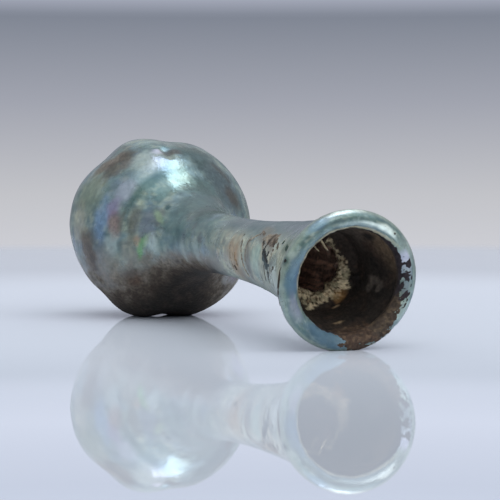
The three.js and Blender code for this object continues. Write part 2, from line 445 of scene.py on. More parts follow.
# Soft stains in the skin. On the globe:
GLOBE_STAINS = patches(
    ("dun", 99.8, -44, 2.8, 3.4, 0.85),
    ("dun", 97.8, -37, 2.6, 3.6, 0.9),
    ("brown", 95.6, -31, 2.0, 2.8, 0.8),
    ("brown", 95.6, -45, 2.4, 3.6, 0.8),
    ("dun", 93.6, -37, 1.6, 3.0, 0.7),
    ("sand", 97.4, -37, 4.4, 0.4, 0.12, -39),
    ("clear", 92.7, -14, 0.9, 1.2, 0.9),
    ("silver", 91, -25, 3.2, 3.8, 0.5),
    ("silver", 88.2, -33, 1.8, 4, 0.4),
    ("dusk", 89, -51, 3.0, 3.8, 0.5),
    ("lilac", 88.3, -53, 1.8, 3.0, 0.7),
    ("moss", 85.4, -38, 1.1, 7.5, 0.85),
    ("olive", 98, -66, 5, 5, 0.7),
    ("blue", 91.3, -79, 2.0, 5.0, 0.6),
    ("violet", 88.8, -69, 1.8, 2.2, 0.8),
    ("wine", 87.6, -82, 1.6, 3.2, 0.7),
    ("brown", 86.0, -79, 0.7, 3.0, 0.5),
    ("brown", 83.2, -76, 1.5, 4.2, 0.65),
    ("dusk", 79.8, -81, 2.4, 4.6, 0.7),
    ("lime", 77.3, -62, 2.6, 0.8, 0.5, 25),
    ("moss", 76.8, -45, 0.8, 0.9),
    ("deep_teal", 71, -69, 4.6, 3.6, 0.6),
    ("moss", 70, -64, 3.0, 0.8, 0.5, 60),
    ("orange", 81.9, -95, 0.9, 1.3, 0.5),
    ("green", 81.2, -102, 0.7, 2.6, 0.7, 25),
    ("lime", 79.6, -95, 0.6, 2.0, 0.5, 25),
    ("silver", 77.8, -99, 1.6, 2.4, 0.5),
    ("silver", 88.2, -98, 1.8, 2.8, 0.45),
    ("mauve", 84.4, -105, 2.0, 2.6, 0.5),
    ("cream", 99.0, -86, 2.8, 5.0, 0.25),
    ("mauve", 91, -112, 4.0, 4.0, 0.5),
    ("dun", 95.6, -104, 3.0, 5.4, 0.9),
    ("brown", 94.6, -108, 1.2, 3.4, 0.5),
    ("rust", 86.3, -130, 2.2, 2.2, 0.8),
    ("silver", 60.5, -100, 1.4, 3.2, 0.35),
    ("silver", 67, -104, 1.0, 2.6, 0.4),
    ("moss", 55.6, -60, 1.6, 1.4, 0.5),
    ("slate", 87.5, 33, 4.6, 6.5, 0.95),
    ("slate", 84, 52, 4.6, 5, 0.9),
    ("brown", 85.6, 55, 2.2, 3, 0.8),
    ("deep_teal", 73, -8, 4, 9, 0.6),
    ("slate", 70, 10, 9, 8, 0.6),
    ("slate", 79, 24, 4, 6, 0.5),
    ("slate", 93, 16, 3, 6, 0.6),
    ("brown", 89.5, 36, 0.8, 3.5, 0.5, 15),
    ("moss", 64, -4, 3, 7, 0.4),
    ("moss", 81, 18, 3, 5, 0.5),
    ("moss", 91.5, 12, 4, 4, 0.6),
    ("brown", 92, -3, 1.5, 2.0, 0.85),
    # The far side and the foot, which the photograph doesn't show
    ("brown", 84, 104, 5, 4, 0.6, 20),
    ("olive", 94, 86, 5, 6, 0.6),
    ("blue", 80, 92, 3, 5, 0.5, 20),
    ("silver", 70, 78, 4, 5, 0.4),
    ("violet", 88, 118, 3, 3, 0.5),
)
# On the neck, with painted light on its lower side where it lies in shade:
NECK_STAINS = patches(
    ("mauve", 52, -122, 3, 4, 0.5),
    ("mauve", 44, -92, 1.6, 3.4, 0.4),
    ("tan", 39.4, -104, 2.8, 5.0, 0.9),
    ("tan", 42, -86, 1.6, 3.2, 0.6),
    ("orange", 38.9, -97, 0.8, 2.0, 0.35),
    ("mauve", 32.6, -94, 1.4, 4.4, 0.8, -10),
    ("mauve", 37, -138, 1.4, 3.4, 0.6),
    ("cyan", 27.4, -88, 2.6, 4.4, 0.4),
    # Painted light: the silver and the white lighten the neck's lower side, which lies in shade
    ("silver", 13.5, -102, 3.8, 3.6, 0.8),
    ("painted_light", 13.5, -104, 3.2, 2.4, 0.3),
    ("mauve", 21.5, -59, 3.2, 2.0, 0.7, 20),
    ("mauve", 27.0, -48, 4.2, 2.0, 0.9, 20),
    ("olive", 9.5, -61, 2.6, 1.7, 0.8),
    ("moss", 5.5, -70, 0.9, 1.4, 0.5),
    ("moss", 3.2, -96, 0.8, 4.5, 0.5),
    ("tan", 30, 96, 3, 4, 0.7),
    ("mauve", 40, 60, 2, 5, 0.5),
    ("olive", 18, 130, 3, 4, 0.6),
)
# On the lip, where the white patches and the thin silver line along the inner edge are painted highlights:
LIP_STAINS = patches(
    ("silver", 1.3, -66, 0.9, 1.0, 0.4),
    ("moss", 2.0, -72, 0.7, 0.8, 0.8),
    ("moss", -0.1, -144, 0.5, 0.7, 0.9),
    ("deep_blue", 0.0, -86, 1.3, 4.2, 0.85),
    ("steel", 0.2, -70, 1.0, 2.6, 0.4),
    ("violet", 0.0, -109, 0.9, 2.4, 0.6),
    ("lilac", 0.2, -119, 1.0, 2.0, 0.5),
    ("blue", 1.4, -34, 0.8, 2.6, 0.5),
    ("lilac", 1.6, -22, 0.7, 1.6, 0.4),
    # A painted highlight along the top of the lip
    ("painted_light", 1.9, -9, 0.6, 3.4, 0.7),
    ("silver", 0.4, 60, 1.2, 3.0, 0.4),
    # Painted highlights: a thin silver line and white along the inner edge
    ("silver", -0.5, 2, 0.4, 4.0, 0.7),
    ("painted_light", -0.2, 24, 0.3, 4.0, 0.7),
    ("painted_light", 0.1, 31, 0.6, 1.9, 0.8),
    ("deep_blue", -0.7, -160, 1.8, 5.4, 0.85),
    ("steel", -0.6, -174, 1.0, 1.4, 0.6),
    ("silver", 0.2, 116, 1.2, 2.6, 0.7),
)

# Loose matter with a sharp, ragged edge: crusts, flakes, cracks that hold dirt, and specks
NECK_CRUSTS = patches(
    ("umber", 40.3, -116, 0.55, 0.55),
    ("tan", 39.3, -94, 0.4, 0.8),
    ("tan", 38.6, -106, 0.3, 0.9),
    ("sand", 35.3, -92, 0.34, 4.6, 1, -24),
    ("sand", 33.4, -77, 0.3, 2.4),
    ("sand", 31.6, -56, 2.6, 0.3, 1, -25),
    ("sand", 41.8, -98, 0.26, 3.2, 1, -15),
    ("sand", 24.0, -70, 2.4, 0.26, 1, 35),
    ("sand", 17.2, -84, 0.24, 3.4, 1, -10),
    ("slate", 20.8, -84, 2.8, 1.0, 1, 28),
    ("soot", 20.9, -80, 1.6, 0.3, 1, 28),
    ("soot", 21.4, -104, 0.3, 1.5),
    ("soot", 18.6, -104, 0.3, 1.5),
    ("mauve", 28.4, -46, 1.6, 0.3, 1, 20),
    ("sand", 22.8, -56, 2.8, 0.9, 1, 10),
    ("mauve", 20.2, -56, 2.8, 1.3, 1, 10),
    ("brown", 18.8, -60, 1.3, 0.5, 1, 20),
    ("brown", 15.8, -62, 1.1, 0.4, 1, 40),
    ("soot", 22.6, -66, 0.3, 1.5, 1, 20),
    ("soot", 19.8, -75, 0.4, 0.5),
    ("soot", 24.8, -62, 0.9, 0.26, 1, 30),
    ("umber", 14.8, -88, 0.6, 0.4),
    ("umber", 15.8, -92, 0.4, 0.36),
    ("moss", 13.6, -56, 0.5, 0.4),
    ("moss", 9.0, -62, 1.2, 0.5, 1, 15),
    ("soot", 2.0, -72, 0.26, 0.3),
    ("umber", 2.7, -89, 0.4, 2.2),
    ("umber", 3.1, -102, 0.4, 1.3),
    ("umber", 0.3, 40, 0.2, 0.25),
    ("cream", 28.5, 84, 0.3, 3.4, 1, 12),
    ("tan", 36, 70, 0.4, 1.9, 1, 25),
    ("brown", 34.6, 64, 0.9, 0.4, 1, -20),
    ("brown", 22, 150, 1.3, 0.5, 1, 30),
    ("tan", 21.2, 154, 0.4, 0.9, 1, -10),
)
RUST_CRUSTS = patches(
    ("rust", -2.6, 168, 4.3, 3.0),
    ("rust", -1.0, 150, 2.3, 3.2),
    ("brown", -1.3, 134, 1.5, 2.6),
    ("brown", -1.6, 121, 1.0, 2.0),
)
# Stains inside the mouth
LINING_STAINS = patches(
    ("rust", -6.4, 48, 5.5, 7.5, 0.8),
    ("tan", -5.2, 52, 4.6, 6.5, 0.3),
    ("mauve", -12, 10, 5, 6, 0.4),
    ("rust", -5.0, 8, 3.0, 6, 0.6),
    ("soot", -9.5, 42, 1.4, 1.2, 0.9),
    ("soot", -10, 118, 7, 8, 0.5),
    ("mauve", -10.9, 99, 2.0, 0.7, 0.5, 10),
    ("mauve", -11.8, 107, 0.7, 1.3, 0.5),
    ("mauve", -9.4, 105, 0.6, 1.2, 0.5, 30),
    ("tan", -15.5, 153, 0.35, 0.8),
    ("tan", -10.1, 170, 0.35, 1.0),
)
# A stain over the ring of earth
RING_STAINS = patches(("amber", -17.0, 138, 1.2, 1.6, 0.6))
# Places without a tint: where the skin is glossiest, the spur of the ring, and the pit on the shoulder
GLOSSY = Patch("", 86, -12, 8, 8)
SPUR, SPUR_HEIGHT = Patch("", -16.6, 103, 1.0, 0.5), 1.1
SHOULDER_PIT = Patch("", 92, -7, 2.2, 1.2, 0.5, -10)

# Where one look runs into the next, in mm behind the front of the lip
GLOBE_SKIN_START, NECK_SKIN_END = 57, 47
NECK_SKIN_START, LIP_SKIN_END = 4.2, 2.2
# Nearer to the bottle's middle line than this, drawn-out marks fade, so that they make no star on the foot
DRAWN_START, DRAWN_WHOLE = 4, 14

# The far side of the lip, where the lining has broken into flakes on bare glass, and the bare stretch there
FLAKES_AROUND = math.radians(88)
FLAKES_HALF_LENGTH = 28   # degrees
FLAKE_COVER = 0.1
FLAKE_SIZE = 0.75
BARE_AROUND = math.radians(60)
# Where the lining of the mouth starts, in mm behind the front of the lip, and how far it has come off more
LINING_EDGE = -1.75
BARE_RETREAT = 0.8
NEAR_LIP = math.radians(-25)
LIP_SHADE = 0.86
# The band of pale crumbs on the ring of earth: its half width and middle, and the side where it is thin
CRUMBS_HALF_WIDTH, CRUMBS_MIDDLE = 1.8, -18.7
THIN_CRUST_AROUND = math.radians(10)

# The skin's outer layer in nanometres: about 190 shines lilac, 215 blue and 245 pale green
FILM_MEAN = 236
FILM_SPREAD = 13
FILM_PATCHES = [
    (Patch("", 89, -22, 4.5, 4.5), -30),
    (Patch("", 83, -4, 4.5, 4.5), 32),
    (Patch("", 88, -72, 5, 6), -26),
]

# The tints that dull the gloss, and those that hide most of it
DIRTY_TINTS = ("brown", "rust", "mauve", "tan", "wine", "cream", "olive")
MATT_TINTS = ("brown", "dun", "rust", "wine", "slate")
# The dirt and painted shade below, from where they start to where they are whole, in degrees from the top
DIRT_TURN = math.radians(3)
DIRT_AND_SHADE_START, DIRT_AND_SHADE_END = 116, 156
DARKEST_SIDE_START, DARKEST_SIDE_END = 138, 166
MAUVE_SIDE_START, MAUVE_SIDE_END = 102, 124
MATT_SIDE_START, MATT_SIDE_END = 104, 140
DIRT_RAGGEDNESS = 7
FOOT_LEVEL_RADIUS = 15

LINING_SLOPE = 1.2        # mm over which the cover goes from none to whole at the lining's edge
CRUST_SQUARENESS = 3      # 2 would make the crusts oval, and more makes them squarer
CRUST_RAGGEDNESS = 0.5
CRUMBLY_TINTS = ("rust", "brown", "mauve", "sand", "tan")

# Relief of the skin in mm: waves and ripples, and what the globe has more of them, then the lines drawn round
# the neck, the crusts, the lumps of the lining, and the coarse and fine crumbs of the ring
WAVES, GLOBE_WAVES = 0.05, 0.1
RIPPLES, GLOBE_RIPPLES = 0.02, 0.02
DRAWN_LINES = 0.022
CRUST_RISE = 0.1
LINING_LUMPS = 0.14
COARSE_CRUMBS, FINE_CRUMBS = 0.6, 0.25


# Every ring's radius, and its way behind the front of the lip
RING_RADIUS, _, RING_BEHIND = rings()


def part_way(colours, tint, amount):
    """The colours, gone part of the way to one tint."""
    return colours + (np.array(TINTS[tint]) - colours) * np.clip(amount, 0, 1)[:, None]


def layered(points, base, layers):
    """The base tint with others over it: each tint, its strength, and where its noise starts and is whole."""
    colours = np.tile(TINTS[base], (len(points.around), 1))
    for tint, strength, start, whole, values in layers:
        colours = part_way(colours, tint, strength * smooth(start, whole, values))
    return colours


def reach_of(points, patch, power):
    """How far each point is from the middle of a patch, as a share of its size."""
    down = points.behind_lip - patch.behind
    radius = np.interp(-patch.behind, -RING_BEHIND, RING_RADIUS)
    across = radius * turn_from(points.around, math.radians(patch.around))
    lean = math.radians(patch.lean)
    long_way = np.abs(down * math.cos(lean) + across * math.sin(lean)) / patch.length
    short_way = np.abs(across * math.cos(lean) - down * math.sin(lean)) / patch.width
    return (long_way ** power + short_way ** power) ** (1 / power)


def stain_weight(points, patch, ragged):
    """1 in the middle of a soft patch, falling to 0 at its ragged edge."""
    reach = reach_of(points, patch, 2) + 0.3 * ragged
    return patch.strength * smooth(1.35, 0.5, reach)


def with_stains(colours, points, stains, ragged):
    for stain in stains:
        colours = part_way(colours, stain.tint, stain_weight(points, stain, ragged))
    return colours


def swirled(points, stretch):
    """Places for noise that is drawn out round the bottle, leaning a little, as the glass was turned."""
    lean = 1.2 * np.sin(points.around + 0.6)
    return np.stack([
        points.behind_lip + lean,
        stretch * np.sin(points.around),
        stretch * np.cos(points.around),
    ], 1)


def below_share(points, ragged, start, end):
    """0 on top, 1 on the underside, between the given degrees from the top, and level over the foot."""
    wide = np.where(points.along < 0, np.maximum(points.radius, FOOT_LEVEL_RADIUS), points.radius)
    turned = np.cos(points.around - DIRT_TURN)
    from_top = np.degrees(np.arccos(points.radius * turned / np.maximum(wide, 1e-6)))
    return smooth(start, end, from_top + DIRT_RAGGEDNESS * ragged)


def globe_colours(points, ragged):
    """Clouded teal with soft stains, dark below with dirt and painted shade."""
    even = points.even
    warp = 2.5 * np.stack([grain(even, 10, 2, seed) for seed in (3.1, 17.7, 31.3)], 1)
    cloud = grain(even + warp, 7, 4, 5.0)
    veil = grain(even + warp, 5, 4, 45.0)
    stain = grain(even + warp, 7.0, 4, 71.0)
    streaks = grain(swirled(points, 9.0), 1.1, 3, 33.0)
    streaked = 0.35 * smooth(DRAWN_START, DRAWN_WHOLE, points.radius)
    mottle = grain(even, 2.6, 4, 133.0)
    colours = layered(points, "teal", [
        ("sage", 0.7, 0.0, 0.45, cloud),
        ("slate", 0.7, 0.0, 0.5, -cloud),
        ("steel", 0.4, 0.1, 0.5, veil),
        ("deep_teal", 0.6, 0.05, 0.45, -veil),
        ("brown", 0.55, 0.25, 0.55, stain),
        ("pale_sage", streaked, 0.1, 0.5, streaks),
        ("moss", streaked, 0.1, 0.5, -streaks),
    ])
    mauve = below_share(points, ragged, MAUVE_SIDE_START, MAUVE_SIDE_END)
    dirt_and_shade = below_share(points, ragged, DIRT_AND_SHADE_START, DIRT_AND_SHADE_END)
    mottled = below_share(points, ragged - 1.2 * mottle, DIRT_AND_SHADE_START, DIRT_AND_SHADE_END)
    darkest = below_share(points, ragged, DARKEST_SIDE_START, DARKEST_SIDE_END)
    colours = part_way(colours, "mauve", 0.8 * mauve)
    # Darker towards the underside: dirt and painted shade in brown, soot and umber
    colours = part_way(colours, "brown", mottled)
    colours = part_way(colours, "soot", 0.85 * darkest)
    colours = part_way(colours, "umber", 0.7 * dirt_and_shade * smooth(0.0, 0.4, -mottle))
    return with_stains(colours, points, GLOBE_STAINS, ragged)


def neck_colours(points, ragged):
    """Pale grey-green, with faint drawn-out bands, and painted shade along its top."""
    bands = swirled(points, 3.2)
    band = grain(bands, 2.2, 3, 9.0)
    streak = grain(bands, 0.7, 2, 27.0)
    from_top = np.abs(np.degrees(points.around) + 4)
    colours = layered(points, "pale_sage", [
        ("teal", 0.7, -0.1, 0.5, grain(points.even, 7, 3, 12.0)),
        ("mauve", 0.35, 0.15, 0.5, band),
        ("silver", 0.3, 0.2, 0.5, -band),
        ("cream", 0.4, 0.15, 0.5, streak),
        ("slate", 0.4, 0.15, 0.5, -streak),
        # Painted shade: teal and slate darken the top of the neck
        ("teal", 0.8, 64, 24, from_top),
        ("slate", 0.9, 64, 24, from_top),
    ])
    return with_stains(colours, points, NECK_STAINS, ragged)


def lip_colours(points, ragged):
    """Grey-teal with steel blue, with painted highlights along the top and in a pale line along the inner
    edge.
    """
    even = points.even
    wear = grain(swirled(points, 2.4), 0.5, 3, 85.0)
    colours = layered(points, "teal", [
        ("slate", 0.4, -0.3, 0.3, grain(even, 4.5, 3, 61.0)),
        ("deep_teal", 0.5, 0.0, 0.5, grain(even, 2.6, 3, 67.0)),
        ("silver", 0.4, 0.15, 0.5, grain(even, 1.2, 3, 83.0)),
        ("slate", 0.5, 0.1, 0.5, wear),
        ("pale_sage", 0.4, 0.1, 0.5, -wear),
        ("sage", 0.7, 0.9, 1.7, points.behind_lip),
    ])
    colours = with_stains(colours, points, LIP_STAINS, ragged)
    colours *= LIP_SHADE
    broken, _ = flake_shares(points)
    colours = part_way(colours, "dusk", 0.8 * broken * smooth(-0.3, 0.3, grain(even, 1.1, 3, 89.0)))
    return part_way(colours, "clear", broken * bare_share(points, 0.3))


def edge_line_share(points, ragged):
    """1 on the pale worn line where the bare lip meets the lining, on the near side of the mouth."""
    from_line = np.abs(points.behind_lip - lining_edge(points) - 0.3 + 0.12 * ragged)
    near_side = smooth(88, 60, np.abs(np.degrees(turn_from(points.around, NEAR_LIP))))
    return smooth(0.42, 0.2, from_line) * near_side


def skin_colours(points, ragged):
    """The weathered skin of globe, neck and lip, each running into the next."""
    on_neck = smooth(GLOBE_SKIN_START, NECK_SKIN_END, points.behind_lip)[:, None]
    on_lip = smooth(NECK_SKIN_START, LIP_SKIN_END, points.behind_lip)[:, None]
    colours = globe_colours(points, ragged)
    colours += (neck_colours(points, ragged) - colours) * on_neck
    colours += (lip_colours(points, ragged) - colours) * on_lip
    return part_way(colours, "cream", 0.6 * edge_line_share(points, ragged))


def flake_shares(points):
    """Where the lining has broken up at the far side of the lip, and the fragments that still stick there."""
    behind = points.behind_lip
    from_flakes = np.abs(np.degrees(turn_from(points.around, FLAKES_AROUND)))
    in_flakes = smooth(FLAKES_HALF_LENGTH + 5, FLAKES_HALF_LENGTH - 5, from_flakes)
    in_band = smooth(-2.1, -1.7, behind) * smooth(0.5, 0.1, behind)
    broken = in_flakes * in_band
    fragments = grain(points.even, FLAKE_SIZE, 5, 111.0) + FLAKE_COVER
    return broken, fragments - 0.75 * bare_share(points, 0.16) * smooth(0.35, -0.1, behind)


def bare_share(points, reach):
    """1 in the middle of the stretch where the flakes are gone, falling off over a reach in radians."""
    return np.exp(-(turn_from(points.around, BARE_AROUND) / reach) ** 2)


def dirt_share(points, ragged):
    """0 where the skin is clean and glossy, 1 where dirt has made it matt."""
    drawn = grain(swirled(points, 6.0), 1.4, 3, 59.0) * smooth(DRAWN_START, DRAWN_WHOLE, points.radius)
    dirt = 0.32 + 0.35 * grain(points.even, 4.5, 3, 57.0) + 0.25 * drawn
    dirt += 0.7 * below_share(points, ragged, DIRT_AND_SHADE_START, DIRT_AND_SHADE_END)
    for patch in GLOBE_STAINS + NECK_STAINS:
        if patch.tint in DIRTY_TINTS:
            dirt = np.maximum(dirt, stain_weight(points, patch, ragged))
    dirt -= 0.35 * stain_weight(points, GLOSSY, ragged)
    return np.clip(dirt, 0, 1)


def film_thickness(points):
    thickness = FILM_MEAN + FILM_SPREAD * grain(points.even, 9, 2, 87.0)
    for patch, gain in FILM_PATCHES:
        thickness += gain * np.exp(-reach_of(points, patch, 2) ** 2)
    return thickness


def lining_edge(points):
    """Where the bare lip ends and the dark lining of the mouth starts, in mm behind the front of the lip."""
    return LINING_EDGE + BARE_RETREAT * bare_share(points, 0.3)


def lining_colours(points, ragged):
    """The inside: near black, with reddish earth here and there, and the pale ring in the throat."""
    even = points.even
    colours = layered(points, "umber", [
        ("soot", 0.5, 0.0, 0.4, grain(even, 4, 3, 90.0)),
        ("rust", 0.6, 0.1, 0.5, grain(even, 3, 4, 95.0)),
    ])
    along_bore = np.stack([points.behind_lip / 6, even[:, 1], even[:, 2]], 1)
    fibres = smooth(-0.3, 0.4, grain(along_bore, 1.2, 3, 97.0))
    in_bore = smooth(-19.5, -22, points.behind_lip)
    colours = part_way(colours, "bore", in_bore * (0.4 + 0.6 * fibres))
    colours = with_stains(colours, points, LINING_STAINS, ragged)
    crumbs = grain(even, 0.6, 4, 101.0)
    crust = layered(points, "tan", [
        ("pale_earth", 1, -0.25, 0.1, crumbs),
        ("olive", 0.5, 0.1, 0.4, grain(even, 1.6, 3, 107.0)),
        ("brown", 1, 0.22, 0.42, -crumbs),
    ])
    colours += (crust - colours) * crust_colour_share(points, ragged)[:, None]
    return with_stains(colours, points, RING_STAINS, ragged)


def crust_share(points):
    """1 on the ring of earth in the throat, 0 off it."""
    inside = points.behind_lip < -LIP_REACH
    from_crest = np.abs(points.along - CRUST_ALONG) / CRUST_HALF_LENGTH
    return np.where(inside, smooth(1.0, 0.7, from_crest), 0)


def thin_crust_share(points):
    return smooth(95, 40, np.abs(np.degrees(turn_from(points.around, THIN_CRUST_AROUND))))


def crust_colour_share(points, ragged):
    """Where the ring of earth shows its pale crumbs: a ragged band, thin on one side."""
    thin = thin_crust_share(points)
    half_width = CRUMBS_HALF_WIDTH - 1.25 * thin
    middle = CRUMBS_MIDDLE - 0.9 * thin
    from_middle = np.abs(points.behind_lip - middle) + 0.9 * ragged
    return smooth(half_width + 0.2, half_width - 0.2, from_middle) * (1 - 0.35 * thin)


def matt_share(points, ragged):
    """1 where matt dirt hides the gloss: on the globe's underside, and mostly over its darkest stains."""
    patchy = grain(points.even, 2.6, 4, 131.0)
    on_globe = smooth(50, 62, points.behind_lip)
    matt = below_share(points, ragged + 1.5 * patchy, MATT_SIDE_START, MATT_SIDE_END) * on_globe
    for patch in GLOBE_STAINS:
        if patch.tint in MATT_TINTS:
            matt = np.maximum(matt, 0.7 * stain_weight(points, patch, ragged))
    return matt


def crust_reach(points, patch, torn):
    """How far each point is from the middle of a crust, as a share of its size, with a torn edge."""
    return reach_of(points, patch, CRUST_SQUARENESS) + CRUST_RAGGEDNESS * torn


def cover_share(points, ragged, torn):
    """Above 0.5 where loose matter covers the glass, with an even slope through its edge."""
    past_edge = (lining_edge(points) - points.behind_lip) / LINING_SLOPE
    cover = np.clip(0.5 + past_edge + 0.15 * torn, 0, 1)
    broken, fragments = flake_shares(points)
    cover = np.maximum(cover, np.clip(0.5 + 1.6 * fragments, 0, 1) * (broken > 0.5))
    for patch in NECK_CRUSTS + RUST_CRUSTS:
        cover = np.maximum(cover, np.clip(1.5 - crust_reach(points, patch, torn), 0, 1))
    return cover


def earth_colours(points, skin, ragged, torn):
    """The colour of what covers the glass, wherever it does: the lining, flakes, crusts and specks."""
    colours = lining_colours(points, ragged)
    colours = part_way(colours, "plum", smooth(-3.0, -2.0, points.behind_lip))
    on_globe = smooth(46, 50, points.behind_lip)[:, None]
    colours += (skin - colours) * on_globe
    spots = grain(points.even, 0.7, 3, 121.0)
    for patch in NECK_CRUSTS + RUST_CRUSTS:
        inside = smooth(1.3, 1.1, crust_reach(points, patch, torn))
        colours = part_way(colours, patch.tint, inside)
        mottled = 0.7 * inside * (patch.tint in CRUMBLY_TINTS)
        colours = part_way(colours, "umber", mottled * smooth(0.15, 0.4, spots))
        colours = part_way(colours, "tan", 0.25 * mottled * smooth(0.15, 0.45, -spots))
    return colours


def random_pits(points, generator, count, reach, depth, inside):
    """Small round pits at random places."""
    eligible = np.flatnonzero((points.behind_lip < -2) if inside else (points.behind_lip > 1))
    relief = np.zeros(len(points.around))
    for centre in generator.choice(eligible, count):
        size = reach * generator.uniform(0.5, 1.5)
        away = np.linalg.norm(points.even - points.even[centre], axis=1) / size
        same_side = (points.behind_lip < 0) == inside
        relief -= depth * generator.uniform(0.4, 1.2) * np.exp(-away ** 4) * same_side
    return relief


def join_poles(bottle):
    """Joins the points that lie on each other in the middle of the foot and of the floor inside."""
    mesh = bmesh.new()
    mesh.from_mesh(bottle.data)
    bmesh.ops.remove_doubles(mesh, verts=mesh.verts, dist=SAME_PLACE)
    mesh.to_mesh(bottle.data)
    mesh.free()


def relief_of(points, ragged, cover):
    """How far the skin stands out from the even form, in mm."""
    even = points.even
    generator = np.random.default_rng(7)
    on_globe = smooth(50, 70, points.behind_lip)
    outside = points.behind_lip > -1
    waves = grain(even, 9, 2, 13.0) * (WAVES + GLOBE_WAVES * on_globe)
    ripples = grain(even, 2.6, 3, 19.0) * (RIPPLES + GLOBE_RIPPLES * on_globe)
    drawn = grain(swirled(points, 5.0), 1.3, 3, 23.0) * DRAWN_LINES * (1 - on_globe)
    crusts = CRUST_RISE * smooth(0.4, 0.6, cover)
    lumps = grain(even, 1.8, 4, 37.0) * LINING_LUMPS
    crumbs = grain(even, 1.3, 4, 41.0) * COARSE_CRUMBS + grain(even, 0.55, 2, 43.0) * FINE_CRUMBS
    ring = crust_share(points)
    lining = lumps * (1 - ring) + (crumbs - 0.5 * thin_crust_share(points)) * ring
    spur = SPUR_HEIGHT * np.exp(-reach_of(points, SPUR, 2) ** 2)
    relief = np.where(outside, waves + ripples + drawn + crusts, lining + spur)
    relief += random_pits(points, generator, count=150, reach=0.55, depth=0.1, inside=False)
    relief += random_pits(points, generator, count=40, reach=0.5, depth=0.15, inside=True)
    return relief - stain_weight(points, SHOULDER_PIT, ragged)


# The fine grain of the materials: lumps for each metre, and how high they seem, in metres
TINT_LUMPS = 900.0
SPECK_LUMPS = 2300.0
GRIT_LUMPS = 1500.0
EDGE_LUMPS = 1700.0
GLASS_BUMP = 0.0001
EARTH_BUMP = 0.0003
# How uneven the two looks are: the tint's brightness, and how much the specks show
GLASS_BRIGHTNESS = (0.82, 1.18)
EARTH_BRIGHTNESS = (0.6, 1.4)
SPECKS_START, SPECKS_WHOLE = 0.68, 0.76
SPECK_STRENGTH = 0.6
# Roughness of clean and of dirty glass, and of earth
CLEAN_ROUGHNESS, DIRTY_ROUGHNESS = 0.16, 0.7
EARTH_ROUGHNESS = 0.85
GLASS_IOR = 1.5
FILM_IOR = 1.62
# Cover and fine noise together hide the glass above this edge
EDGE_NOISE = 0.55
EDGE_MIDDLE = 0.5 + EDGE_NOISE / 2
EDGE_SOFTNESS = 0.03


def varied(add, colour, lumps, low, high):
    """The colour made darker and brighter by a noise, between two shares of itself."""
    brightness = mapped(add, lumps, 0.3, 0.7, low, high)
    return add("ShaderNodeVectorMath", {0: colour, 3: brightness}, operation="SCALE").outputs["Vector"]


def noise_in(add, place, per_metre, detail):
    return add("ShaderNodeTexNoise", {"Vector": place, "Scale": per_metre, "Detail": detail}).outputs["Fac"]


def glass_shader(add, place):
    """The weathered glass: mottled tint, fine dark specks, and a thin iridescent film."""
    tint = painted(add, "tint", "Color")
    mottled = varied(add, tint, noise_in(add, place, TINT_LUMPS, 5.0), *GLASS_BRIGHTNESS)
    speck_noise = noise_in(add, place, SPECK_LUMPS, 2.0)
    speck_share = mapped(add, speck_noise, SPECKS_START, SPECKS_WHOLE, 0, SPECK_STRENGTH)
    speckled = add("ShaderNodeMix", {
        "Factor": speck_share, "A": mottled, "B": (*TINTS["brown"], 1),
    }, data_type="RGBA").outputs["Result"]
    roughness = mapped(add, painted(add, "dirt"), 0, 1, CLEAN_ROUGHNESS, DIRTY_ROUGHNESS)
    bump = add("ShaderNodeBump", {
        "Height": noise_in(add, place, GRIT_LUMPS, 6.0), "Distance": GLASS_BUMP, "Strength": 0.4,
    }).outputs["Normal"]
    return add("ShaderNodeBsdfPrincipled", {
        "Base Color": speckled, "Roughness": roughness, "Normal": bump,
        "IOR": GLASS_IOR, "Thin Film Thickness": painted(add, "film"), "Thin Film IOR": FILM_IOR,
    }).outputs["BSDF"]


def earth_shader(add, place):
    """Earth, rust and dark flakes: matt and crumbly."""
    earth = painted(add, "earth", "Color")
    mottle = noise_in(add, place, GRIT_LUMPS, 6.0)
    bump = add("ShaderNodeBump", {
        "Height": mottle, "Distance": EARTH_BUMP, "Strength": 0.8,
    }).outputs["Normal"]
    return add("ShaderNodeBsdfPrincipled", {
        "Base Color": varied(add, earth, mottle, *EARTH_BRIGHTNESS), "Roughness": EARTH_ROUGHNESS,
        "Normal": bump, "Specular IOR Level": 0.2,
    }).outputs["BSDF"]


def bottle_material():
    """Glass, and earth over it wherever the cover attribute and a fine noise together come above the edge."""
    material = bpy.data.materials.new("weathered_glass")
    material.use_nodes = True
    add = nodes_of(material.node_tree)
    place = add("ShaderNodeTexCoord").outputs["Object"]
    raised = add("ShaderNodeMath", {
        0: noise_in(add, place, EDGE_LUMPS, 4.0), 1: EDGE_NOISE, 2: painted(add, "cover"),
    }, operation="MULTIPLY_ADD").outputs["Value"]
    covered = mapped(add, raised, EDGE_MIDDLE - EDGE_SOFTNESS, EDGE_MIDDLE + EDGE_SOFTNESS)
    hidden = add("ShaderNodeMath", {
        0: covered, 1: painted(add, "matt"),
    }, operation="MAXIMUM").outputs["Value"]
    surface_mix = add("ShaderNodeMixShader", {
        "Fac": hidden, 1: glass_shader(add, place), 2: earth_shader(add, place),
    }).outputs["Shader"]
    add("ShaderNodeOutputMaterial", {"Surface": surface_mix})
    return material


